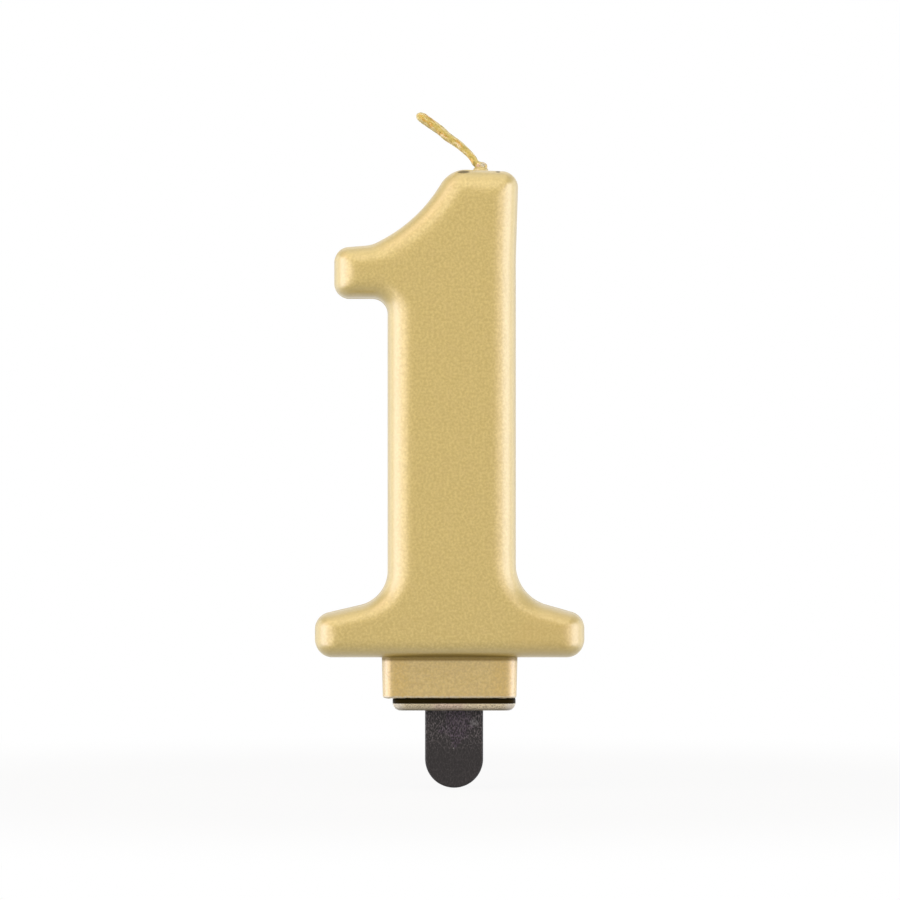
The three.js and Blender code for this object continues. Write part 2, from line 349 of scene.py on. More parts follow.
@dataclass(frozen=True)
class GoldLacquer:
    """Satin gold lacquer sprayed on wax, with a fine metal grain under a clear coat, painted shade
    in the crease over the pedestal and painted highlights on the pedestal's corners.
    """

    gold: Colour = (0.512, 0.37, 0.038, 1.0)
    deep: Colour = (0.41, 0.285, 0.02, 1.0)
    pale: Colour = (0.6, 0.45, 0.08, 1.0)
    pedestal: Colour = (0.45, 0.3, 0.038, 1.0)
    warm: Colour = (0.47, 0.3, 0.008, 1.0)
    # Painted highlight on the pedestal's rounded front corners.
    corner_highlight: Colour = (0.66, 0.46, 0.13, 1.0)
    copper: Colour = (0.36, 0.23, 0.02, 1.0)
    blush: Colour = (0.56, 0.39, 0.08, 1.0)
    # Painted shade in the crease where the pedestal meets the foot.
    corner: Colour = (0.12, 0.075, 0.01, 1.0)
    # Two small dark marks on the top edge, left and right of the wick.
    top_mark: Colour = (0.09, 0.065, 0.02, 1.0)
    raw_edge: Colour = (0.48, 0.42, 0.26, 1.0)
    middle: float = -0.67 * MM
    foot_base: float = 7.9 * MM
    ledge: float = 0.2 * MM
    pedestal_base: float = 1.9 * MM
    lip: Pair = (0.42 * MM, 0.22 * MM)
    lip_grain: Fade = Fade(0.3, 0.55, 0.8)
    flake_size: float = 0.24 * MM
    dark_flakes: Fade = Fade(0.42, 0.75, 0.3)
    light_flakes: Fade = Fade(0.5, 0.25, 0.22)
    cloud_size: float = 2.2 * MM
    dark_clouds: Fade = Fade(0.45, 0.75, 0.26)
    light_clouds: Fade = Fade(0.52, 0.35, 0.16)
    low_shade: Fade = Fade(24 * MM, 9 * MM, 0.22)
    streak_size: float = 0.5 * MM
    streaks: Fade = Fade(0.4, 0.7, 0.3)
    mottle_size: float = 0.38 * MM
    dark_mottle: Fade = Fade(0.42, 0.7)
    light_mottle: Fade = Fade(0.5, 0.3)
    flat_face: Fade = Fade(0.7, 0.97, 0.65)
    blotch_size: float = 0.34 * MM
    dark_blotches: Fade = Fade(0.45, 0.68, 0.55)
    light_blotches: Fade = Fade(0.5, 0.3, 0.52)
    warm_ends: Span = mm(5.5, 7.5, 8.3, 8.7)
    # How far off the middle the painted highlight on the pedestal's corners lies.
    corner_highlight_span: Span = mm(8.2, 8.9, 9.5, 10.1)
    right_toe: Patch = Patch(mm(13.5, -5, 11.5), mm(7, 4, 5), 0.3)
    left_top_mark: Patch = Patch(mm(1.36, -4.9, 80.47), mm(1.2, 1.3, 0.33), 0.4)
    right_top_mark: Patch = Patch(mm(6.55, -4.7, 80.54), mm(0.5, 1.3, 0.28), 0.4)
    crease_arch: float = 5.0
    crease_top: Pair = (1.0 * MM, 0.45 * MM)
    crease_foot: Pair = (0.62 * MM, 0.2 * MM)
    crease_depth: Pair = (5.9 * MM, 5.0 * MM)
    crease_width: Pair = (10.9 * MM, 9.9 * MM)

    def material(self) -> bpy.types.Material:
        """Makes the lacquer.

        Returns:
            The material.
        """
        sheet = Sheet.material("gold_lacquer")
        height = sheet.axis("Z")
        off_centre = sheet.axis("X") - self.middle
        off_side = abs(off_centre)
        flake = sheet.grain(self.flake_size)
        cloud = sheet.grain(self.cloud_size, 3.0)
        mottle = sheet.grain(self.mottle_size)
        blotch = sheet.grain(self.blotch_size, 1.0)
        streak = self.streaks.of(sheet.grain(self.streak_size, 2.0, (0.35, 1, 1.6)))
        low = height.ramp(self.foot_base, self.foot_base - self.ledge)
        shown = 0.35 + self.flat_face.of(sheet.facing())
        thin = self.dark_mottle.of(mottle) * shown
        thick = self.light_mottle.of(mottle) * shown
        crease = self._crease_shade(sheet, height, off_centre)
        lip = height.ramp(*(self.pedestal_base + above for above in self.lip))
        top_marks = sheet.spot(self.left_top_mark).most(sheet.spot(self.right_top_mark))
        colour = sheet.layers(
            self.gold,
            (self.deep, self.dark_flakes.of(flake)),
            (self.pale, self.light_flakes.of(flake)),
            (self.deep, self.dark_clouds.of(cloud)),
            (self.deep, self.low_shade.of(height)),
            (self.pedestal, low * (0.7 + streak)),
            (self.deep, thin * (0.62 - low * 0.22)),
            (self.pale, thick * (0.54 - low * 0.12)),
            (self.pedestal, self.light_clouds.of(cloud)),
            (self.warm, off_side.band(self.warm_ends) * low * 0.85),
            # Painted highlight on the pedestal's rounded corners.
            (self.corner_highlight, off_side.band(self.corner_highlight_span) * low * 0.7),
            (self.warm, sheet.spot(self.right_toe) * (1 - low) * 0.3),
            (self.copper, self.dark_blotches.of(blotch) * low),
            (self.blush, self.light_blotches.of(blotch) * low),
            # Painted shade in the crease over the pedestal.
            (self.corner, crease * 0.7),
            (self.raw_edge, lip * self.lip_grain.of(sheet.grain(0.3 * MM))),
            # The two small dark marks on the top edge.
            (self.top_mark, top_marks * 0.85),
        )
        return sheet.principled(
            Base_Color=colour,
            Metallic=0.3,
            Roughness=0.46 + (flake - 0.5) * 0.16,
            Coat_Weight=1 - top_marks.most(crease).most(thin * 0.2) * 0.85,
            Coat_Roughness=0.34,
            Coat_IOR=2.2,
            Normal=sheet.bump(flake * 0.7 + cloud * 2.0, 0.006 * MM),
        )

    def _crease_shade(self, sheet: Sheet, height: Signal, off_centre: Signal) -> Signal:
        """Painted shade: the dark line in the crease where the pedestal meets the foot, which
        arches up in the middle.

        Args:
            sheet: the material's sheet.
            height: the height above the cake.
            off_centre: the place from left to right of the pedestal's middle.

        Returns:
            1 in the line and 0 outside.
        """
        arched = height + off_centre * off_centre * self.crease_arch
        line = arched.ramp(*(self.foot_base + above for above in self.crease_top))
        line = line * height.ramp(*(self.foot_base - below for below in self.crease_foot))
        tucked = abs(sheet.axis("Y")).ramp(*self.crease_depth)
        return line * tucked * abs(off_centre).ramp(*self.crease_width)


@dataclass(frozen=True)
class WickLacquer:
    """Cotton with the same gold on it, pale at the fold where the cotton shows bare, with painted
    glints and painted shade on the plies.
    """

    gold: Colour = (0.65, 0.55, 0.24, 1.0)
    rich: Colour = (0.58, 0.45, 0.1, 1.0)
    orange: Colour = (0.64, 0.34, 0.05, 1.0)
    olive: Colour = (0.34, 0.3, 0.08, 1.0)
    pale: Colour = (0.86, 0.77, 0.5, 1.0)
    cotton: Colour = (0.84, 0.8, 0.62, 1.0)
    pink: Colour = (0.8, 0.62, 0.5, 1.0)
    rich_face: Fade = Fade(0.72, 0.98, 0.85)
    streak_size: float = 0.55 * MM
    orange_streaks: Fade = Fade(0.5, 0.66, 0.7)
    glint_size: float = 0.34 * MM
    painted_glints: Fade = Fade(0.56, 0.7, 0.6)
    painted_ply_shade: Fade = Fade(0.44, 0.32, 0.6)
    speck_size: float = 0.22 * MM
    fold: Patch = Patch(mm(4.3, -0.2, 81.7), mm(0.55, 1.2, 0.5), 0.4)
    knot: Patch = Patch(mm(3.6, -0.5, 81.6), mm(0.36, 0.9, 0.36), 0.4)
    # Painted shade in the crease on the inner side of the fold.
    crease: Patch = Patch(mm(3.02, -0.5, 81.85), mm(0.2, 0.9, 0.5), 0.6)
    slope: float = 0.675

    def material(self) -> bpy.types.Material:
        """Makes the lacquered cotton.

        Returns:
            The material.
        """
        sheet = Sheet.material("wick_lacquer")
        speck = sheet.grain(self.speck_size)
        streak = self._streak(sheet, self.streak_size)
        glint = self._streak(sheet, self.glint_size)
        bare = sheet.spot(self.fold)
        colour = sheet.layers(
            self.gold,
            (self.rich, self.rich_face.of(sheet.facing())),
            (self.orange, self.orange_streaks.of(streak)),
            # Painted glints on the plies, and painted shade between them.
            (self.pale, self.painted_glints.of(glint)),
            (self.olive, self.painted_ply_shade.of(glint)),
            (self.cotton, bare * 0.85),
            (self.pink, sheet.spot(self.knot) * 0.8),
            # Painted shade in the crease on the inner side of the fold.
            (self.olive, sheet.spot(self.crease) * 0.8),
        )
        return sheet.principled(
            Base_Color=colour,
            Metallic=(1 - bare) * 0.35,
            Roughness=0.42 + speck * 0.2,
            Normal=sheet.bump(speck, 0.03 * MM),
        )

    def _streak(self, sheet: Sheet, size: float) -> Signal:
        """Noise drawn out along the wick's slope.

        Args:
            sheet: the material's sheet.
            size: the streaks' width in metres.

        Returns:
            The noise as a number.
        """
        right, up = math.cos(self.slope), math.sin(self.slope)
        across, height = sheet.axis("X"), sheet.axis("Z")
        along = across * -right + height * up
        over = across * up + height * right
        parts = {0: along * 0.4 + over * 0.25, 1: over, 2: sheet.axis("Y")}
        return sheet.blotches(sheet.node("ShaderNodeCombineXYZ", inputs=parts), size, 1.0)


@dataclass(frozen=True)
class BlackPlastic:
    """Moulded black plastic, dusty near the flange, with gold overspray on the flange's edge and
    painted shade along its top edge under the pedestal.
    """

    black: Colour = (0.022, 0.02, 0.019, 1.0)
    dust: Colour = (0.17, 0.155, 0.15, 1.0)
    pit: Colour = (0.006, 0.006, 0.005, 1.0)
    violet: Colour = (0.1, 0.06, 0.11, 1.0)
    smudge: Colour = (0.2, 0.2, 0.19, 1.0)
    spray: Colour = (0.95, 0.85, 0.54, 1.0)
    spray_pink: Colour = (0.82, 0.65, 0.49, 1.0)
    spray_thin: Colour = (0.18, 0.155, 0.09, 1.0)
    spray_bright: Colour = (1.0, 0.97, 0.8, 1.0)
    # Painted shade on the flange's top edge, in the gap under the pedestal.
    painted_rim_shade: Colour = (0.012, 0.008, 0.002, 1.0)
    fine_size: float = 0.2 * MM
    crackle_size: float = 0.55 * MM
    dusty_zone: Pair = (-7.2 * MM, -2.2 * MM)
    fine_dust: Fade = Fade(0.5, 0.72)
    crackle_dust: Fade = Fade(0.1, 0.0, 0.6)
    pits: Fade = Fade(0.5, 0.36)
    tint: Patch = Patch(mm(0.5, -1, -2.2), mm(2.4, 1.5, 3.2), 1.6)
    tint_grain: Fade = Fade(0.4, 0.65, 0.42)
    smear: Patch = Patch(mm(3.0, -1, -1.95), mm(0.75, 1, 0.65), 1.2)
    smear_grain: Fade = Fade(0.3, 0.7)
    pip: Patch = Patch(mm(-0.09, -1, -5.7), mm(0.16, 0.3, 0.16))
    scratch: Patch = Patch(mm(-1.3, -1, -3.2), mm(0.9, 0.5, 1.1), 1.0)
    scratch_grain: Fade = Fade(0.55, 0.66, 0.8)
    spray_top: float = 1.06 * MM
    spray_ragged: float = 0.12 * MM
    spray_foot: Pair = (-0.02 * MM, 0.03 * MM)
    speck_size: float = 0.24 * MM
    thin_specks: Fade = Fade(0.48, 0.64, 0.6)
    bright_specks: Fade = Fade(0.4, 0.28, 0.8)
    pink_part: Span = mm(-4.0, -2.2, 0.6, 2.2)
    thin_left: Span = mm(-7.4, -6.9, -3.4, -1.6)
    patch_size: float = 1.1 * MM
    patches: Fade = Fade(0.4, 0.6, 0.1)
    bright_ends: Fade = Fade(7.2 * MM, 8.2 * MM, 0.55)
    tang_root: float = 1.8 * MM
    rim_height: float = 0.15 * MM

    def material(self) -> bpy.types.Material:
        """Makes the plastic.

        Returns:
            The material.
        """
        sheet = Sheet.material("black_plastic")
        height = sheet.axis("Z")
        fine = sheet.grain(self.fine_size, 2.0, (1, 1, 0.55))
        crackle = sheet.node(
            "ShaderNodeTexVoronoi",
            {"feature": "DISTANCE_TO_EDGE"},
            {"Vector": sheet.place() * (1, 1, 0.5), "Scale": 1 / self.crackle_size},
        )
        upper = height.ramp(*self.dusty_zone)
        dusty = self.fine_dust.of(fine) + self.crackle_dust.of(crackle)
        above = self._above(sheet, height)
        # Painted shade along the flange's top edge, under the pedestal.
        rim_shade = above * height.ramp(self.tang_root + self.rim_height, self.tang_root)
        colour = sheet.layers(
            self.black,
            (self.dust, (dusty * (0.16 + upper * 0.75)).least(1.0)),
            (self.pit, self.pits.of(fine) * (0.2 + upper * 0.8)),
            (self.violet, sheet.spot(self.tint) * self.tint_grain.of(fine)),
            (self.smudge, sheet.spot(self.smear) * self.smear_grain.of(fine)),
            (self.smudge, sheet.spot(self.pip) * 0.9),
            (self.smudge, sheet.spot(self.scratch) * self.scratch_grain.of(fine)),
            (self._overspray(sheet, height), height.ramp(*self.spray_foot) * (1 - above)),
            (self.painted_rim_shade, rim_shade),
        )
        return sheet.principled(
            Base_Color=colour,
            Metallic=rim_shade,
            Roughness=0.42 + fine * 0.25,
            Specular_IOR_Level=0.25,
            Normal=sheet.bump(fine, 0.012 * MM),
        )

    def _above(self, sheet: Sheet, height: Signal) -> Signal:
        """1 above the overspray's ragged upper edge and 0 below it."""
        edge = self.spray_top + (sheet.grain(self.speck_size) - 0.5) * self.spray_ragged
        return (height - edge).ramp(-0.03 * MM, 0.05 * MM)

    def _overspray(self, sheet: Sheet, height: Signal) -> Signal:
        """The colour of the overspray.

        Args:
            sheet: the material's sheet.
            height: the height above the cake.

        Returns:
            Its colour at each place.
        """
        across = sheet.axis("X")
        speck = sheet.grain(self.speck_size)
        patch = sheet.grain(self.patch_size, 1.0, (1, 0.3, 0.3))
        thin = height.ramp(0.5 * MM, 0.0).most(self.thin_specks.of(speck))
        faint = across.band(self.thin_left) * 0.12 + self.patches.of(patch)
        return sheet.layers(
            self.spray,
            (self.spray_pink, across.band(self.pink_part) * 0.8),
            (self.spray_thin, thin * 0.8),
            (self.spray_bright, self.bright_specks.of(speck)),
            (self.spray_thin, faint),
            (self.spray_bright, self.bright_ends.of(abs(across))),
        )


@dataclass(frozen=True)
class Corner:
    """A corner of an outline. side is the width of the rounded edge from here to the next."""

    x: float
    y: float
    radius: float
    side: float


@dataclass(frozen=True)
class Outline:
    """A closed outline with rounded corners, which run anticlockwise."""

    corners: tuple[Corner, ...]
    least: float = 0.05 * MM
    chord: float = 0.35 * MM
    stride: float = 2.5 * MM
    arc_steps: int = 6

    def ring(self, inset: float) -> list[Vector]:
        """Points round the outline.

        Args:
            inset: the share of each side's width that the side has moved in.

        Returns:
            The points, as many for every inset.
        """
        rounded = [self._rounded(i, inset) for i in range(len(self.corners))]
        self._limit(rounded)
        points: list[Vector] = []
        for i, corner in enumerate(rounded):
            arc = self._arc(i, corner)
            following = rounded[(i + 1) % len(rounded)]
            start = following.point - following.before * following.tangent
            gap = start - arc[-1]
            count = self._strides(i)
            points += arc
            points += [arc[-1] + gap * (step / count) for step in range(1, count)]
        return points

    def _sides(self, i: int) -> tuple[Corner, Corner, Corner]:
        """A corner, with the ones before and after it."""
        corners = self.corners
        return corners[i - 1], corners[i], corners[(i + 1) % len(corners)]

    def _strides(self, i: int) -> int:
        """How many pieces the straight after corner i is cut into."""
        _, here, after = self._sides(i)
        return max(1, round(math.dist((here.x, here.y), (after.x, after.y)) / self.stride))

    def _rounded(self, i: int, inset: float) -> Rounded:
        """Moves a corner's sides in.

        Args:
            i: the corner's number.
            inset: the share of each side's width that the side has moved in.

        Returns:
            Where the corner lies then.
        """
        before, here, after = self._sides(i)
        way_in = Vector((here.x - before.x, here.y - before.y)).normalized()
        way_out = Vector((after.x - here.x, after.y - here.y)).normalized()
        turn = math.atan2(way_in.x * way_out.y - way_in.y * way_out.x, way_in.dot(way_out))
        moved_in = inset * before.side
        moved_out = inset * here.side
        along = (moved_out - moved_in * math.cos(turn)) / math.sin(turn)
        normal_in = Vector((-way_in.y, way_in.x))
        point = Vector((here.x, here.y)) + normal_in * moved_in - way_in * along
        width = (before.side + here.side) / 2
        radius = here.radius - math.copysign(1.0, turn) * inset * width
        radius = max(radius, min(here.radius, self.least))
        return Rounded(point, turn, radius, way_in)

    @staticmethod
    def _limit(rounded: list[Rounded]) -> None:
        """Shrinks each radius to the room that its sides leave.

        Args:
            rounded: the corners, whose radii change.
        """
        room = []
        for i, corner in enumerate(rounded):
            following = rounded[(i + 1) % len(rounded)]
            reach = (following.point - corner.point).length
            room.append(min(1.0, reach / (corner.tangent + following.tangent)))
        for i, corner in enumerate(rounded):
            corner.radius *= min(room[i], room[i - 1])

    def _arc(self, i: int, corner: Rounded) -> list[Vector]:
        """Rounds a corner.

        Args:
            i: the corner's number.
            corner: where it lies.

        Returns:
            The points of its arc, from the side before it to the side after it.
        """
        full = abs(corner.turn) * (self.corners[i].radius + self.corners[i].side / 2)
        steps = max(self.arc_steps, math.ceil(full / self.chord))
        side = math.copysign(1.0, corner.turn)
        start = corner.point - corner.before * corner.tangent
        normal = Vector((-corner.before.y, corner.before.x))
        centre = start + normal * (side * corner.radius)
        points = []
        for step in range(steps + 1):
            angle = corner.turn * step / steps
            across = normal * math.cos(angle) - corner.before * math.sin(angle)
            points.append(centre - across * (side * corner.radius))
        return points


@dataclass
class Rounded:
    """A corner after its sides have moved in. before is the way along the side that ends there."""

    point: Vector
    turn: float
    radius: float
    before: Vector

    @property
    def tangent(self) -> float:
        """How far the arc reaches along each side."""
        return self.radius * math.tan(abs(self.turn) / 2)


def shade(made: bpy.types.Object, crease: float = SHARP_FROM) -> None:
    """Shades an object smooth, apart from edges over crease degrees."""
    made.data.polygons.foreach_set("use_smooth", [True] * len(made.data.polygons))
    made.data.set_sharp_from_angle(angle=math.radians(crease))


def mesh_object(
    name: str, form: bmesh.types.BMesh, crease: float = SHARP_FROM
) -> bpy.types.Object:
    """Turns a bmesh into an object of the scene.

    Args:
        name: the object's name.
        form: the bmesh, which is freed.
        crease: the angle in degrees over which an edge stays sharp.

    Returns:
        The object.
    """
    bmesh.ops.recalc_face_normals(form, faces=form.faces)
    mesh = bpy.data.meshes.new(name)
    form.to_mesh(mesh)
    form.free()
    made = bpy.data.objects.new(name, mesh)
    bpy.context.scene.collection.objects.link(made)
    shade(made, crease)
    return made


def loft(form: bmesh.types.BMesh, rings: Sequence[Sequence[Vector]]) -> None:
    """Adds a closed solid through a stack of rings with equal counts of points.

    Args:
        form: the bmesh to add to.
        rings: the rings, in order.
    """
    rows = [[form.verts.new(point) for point in ring] for ring in rings]
    count = len(rows[0])
    for lower, upper in zip(rows, rows[1:]):
        for i in range(count):
            j = (i + 1) % count
            form.faces.new((lower[i], lower[j], upper[j], upper[i]))
    form.faces.new(reversed(rows[0]))
    form.faces.new(rows[-1])


def lofted(name: str, rings: Sequence[Sequence[Vector]]) -> bpy.types.Object:
    """Makes an object of one closed solid.

    Args:
        name: the object's name.
        rings: its rings, in order, with equal counts of points.

    Returns:
        The object.
    """
    form = bmesh.new()
    loft(form, rings)
    return mesh_object(name, form)


def change(target: bpy.types.Object, tool: bpy.types.Object, cut: Cut) -> None:
    """Joins a solid to another or cuts it out, and takes the tool away.

    Args:
        target: the solid that changes.
        tool: the other solid.
        cut: whether it is joined or removed.
    """
    modifier = target.modifiers.new("change", "BOOLEAN")
    modifier.operation = cut.value
    modifier.solver = "EXACT"
    modifier.object = tool
    graph = bpy.context.evaluated_depsgraph_get()
    changed = bpy.data.meshes.new_from_object(target.evaluated_get(graph))
    target.modifiers.remove(modifier)
    old = target.data
    target.data = changed
    changed.name = target.name
    bpy.data.meshes.remove(old)
    bpy.data.objects.remove(tool)
    shade(target)


def dress(
    made: bpy.types.Object, material: bpy.types.Material, body: str, node: str
) -> None:
    """Finishes a piece and puts it in place of its solid.

    Args:
        made: the piece.
        material: its finish.
        body: the body that it moves with.
        node: the solid that it stands for.
    """
    made.data.materials.clear()
    made.data.materials.append(material)
    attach(made, body)
    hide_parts(node)


@dataclass(frozen=True)
class Edge:
    """How a slab's faces are rounded off.

    seam is how far the walls fall away beside the mould's seam, as a share of the side's width,
    seam_half is half its width, support is an extra ring inside the face, and power is the
    roundness, where 2 is a circle.
    """

    depth: float
    draft: float
    steps: int
    seam: float = 0.0
    seam_half: float = 0.0
    support: float = 0.0
    power: float = 2.0

    def levels(self, thickness: float) -> list[Pair]:
        """Pairs of an inset share and a place from back to front, for one slab.

        Args:
            thickness: the slab's thickness.

        Returns:
            The pairs, from the back face to the front face.
        """
        wall = thickness / 2 - self.depth
        half = []
        for step in range(self.steps + 1):
            angle = math.pi / 2 * step / self.steps
            inset = self.draft + (1 - self.draft) * (1 - math.cos(angle) ** (2 / self.power))
            half.append((inset, wall + self.depth * math.sin(angle)))
        if self.support:
            half.append((1 + self.support, thickness / 2))
        middle = [(0.0, 0.0)]
        if self.seam_half:
            crest = self.seam_half / 3
            side = self.seam
            middle = [(side, self.seam_half), (0.0, crest), (0.0, -crest), (side, -self.seam_half)]
        return [*reversed(half), *middle, *((inset, -back) for inset, back in half)]


def slab(name: str, outline: Outline, thickness: float, edge: Edge, at: Vector) -> bpy.types.Object:
    """A slab on edge, with its outline seen from the front.

    Args:
        name: the object's name.
        outline: the outline.
        thickness: from the front face to the back one.
        edge: how the faces are rounded off.
        at: where the outline's own origin goes.

    Returns:
        The object.
    """
    rings = [
        [at + Vector((point.x, back, point.y)) for point in outline.ring(inset)]
        for inset, back in edge.levels(thickness)
    ]
    return lofted(name, rings)


def block(
    name: str,
    size: Pair,
    radius: float,
    levels: Sequence[Pair],
    at: Vector,
    stride: float = 2.5 * MM,
) -> bpy.types.Object:
    """An upright block with rounded corners in plan.

    Args:
        name: the object's name.
        size: its width and its depth.
        radius: the corners' radius in plan.
        levels: pairs of a height and how far the sides have moved in there.
        at: the middle of the plan.
        stride: the points' spacing along the sides.

    Returns:
        The object.
    """
    x, y = size[0] / 2, size[1] / 2
    # Each side is 1 mm wide, so the share that it moves in is its inset in millimetres.
    side = MM
    places = ((-x, -y), (x, -y), (x, y), (-x, y))
    corners = tuple(Corner(a, b, radius, side) for a, b in places)
    outline = Outline(corners, chord=0.15 * MM, stride=stride)
    rings = [
        [at + Vector((p.x, p.y, z)) for p in outline.ring(inset / side)] for z, inset in levels
    ]
    return lofted(name, rings)


def quarter(radius: float, steps: int, foot: float = 0.0) -> list[Pair]:
    """Levels of a rounded lower edge: pairs of a height above the underside and an inset.

    Args:
        radius: the edge's radius.
        steps: how many steps round it.
        foot: how far in the full section already is.

    Returns:
        The pairs, from the underside up.
    """
    angles = [math.pi / 2 * (1 - step / steps) for step in range(steps + 1)]
    return [(radius * (1 - math.sin(a)), foot + radius * (1 - math.cos(a))) for a in angles]


@dataclass(frozen=True)
class NumeralShape:
    """The numeral seen from the front, from the middle and the underside of its foot."""

    height: float = 73.18 * MM
    foot_width: float = 40.4 * MM
    foot_tip: float = 6.25 * MM
    foot_rise_left: float = 2.55 * MM
    foot_rise_right: float = 2.95 * MM
    foot_corner: float = 2.6 * MM
    foot_lower_corner: float = 2.7 * MM
    foot_fillet_left: float = 5.3 * MM
    foot_fillet_right: float = 6.3 * MM
    stem_width: float = 19.2 * MM
    stem_shift: float = 0.31 * MM
    stem_lean: float = 0.4 * MM
    lean_height: float = 13.6 * MM
    lean_radius: float = 15 * MM
    flag_height: float = 7.6 * MM
    flag_reach: float = 8 * MM
    flag_corner: float = 2.3 * MM
    flag_fillet: float = 2.3 * MM
    shoulder_setback: float = 2.4 * MM
    shoulder_lift: float = 0.45 * MM
    shoulder_foot: float = 4.4 * MM
    shoulder_run: float = 6.8 * MM
    shoulder_rise: float = 3.6 * MM
    shoulder_radius: float = 22.5 * MM
    beak_run: float = 5 * MM
    beak_rise: float = 7.8 * MM
    top_left: float = 4.25 * MM
    top_right: float = 2.45 * MM
    top_fall: float = 0.42 * MM
    side: float = 4.4 * MM
    tip_side: float = 4.1 * MM
    foot_side: float = 3.1 * MM
    top_side: float = 4.6 * MM
    flag_side: float = 3.55 * MM
    least: float = 0.8 * MM

    def outline(self) -> Outline:
        """Places the corners.

        Returns:
            The whole outline.
        """
        left = self.stem_shift - self.stem_width / 2
        right = self.stem_shift + self.stem_width / 2
        tip = self.foot_width / 2
        shoulder_x = left - self.shoulder_setback
        shoulder_z = self.height - self.beak_rise - self.shoulder_rise
        flag_left = left - self.flag_reach
        flag_top = shoulder_z - self.shoulder_lift
        flag_under = flag_top - self.flag_height
        bend_x = shoulder_x + self.shoulder_run
        rise_left = self.foot_tip + self.foot_rise_left
        rise_right = self.foot_tip + self.foot_rise_right
        lean_x = right + self.stem_lean
        side = self.side
        corners = (
            Corner(-tip, 0.0, self.foot_lower_corner, self.foot_side),
            Corner(tip, 0.0, self.foot_lower_corner, self.tip_side),
            Corner(tip, self.foot_tip, self.foot_corner, self.foot_side),
            Corner(right, rise_right, self.foot_fillet_right, side),
            Corner(right, self.height - self.lean_height, self.lean_radius, side),
            Corner(lean_x, self.height - self.top_fall, self.top_right, self.top_side),
            Corner(bend_x + self.beak_run, self.height, self.top_left, side),
            Corner(bend_x, shoulder_z + self.shoulder_rise, self.shoulder_radius, side),
            Corner(shoulder_x, shoulder_z, self.shoulder_foot, self.flag_side),
            Corner(flag_left, flag_top, self.flag_corner, self.tip_side),
            Corner(flag_left, flag_under, self.flag_corner, self.flag_side),
            Corner(left, flag_under, self.flag_fillet, side),
            Corner(left, rise_left, self.foot_fillet_left, self.foot_side),
            Corner(-tip, self.foot_tip, self.foot_corner, self.tip_side),
        )
        return Outline(corners, least=self.least)


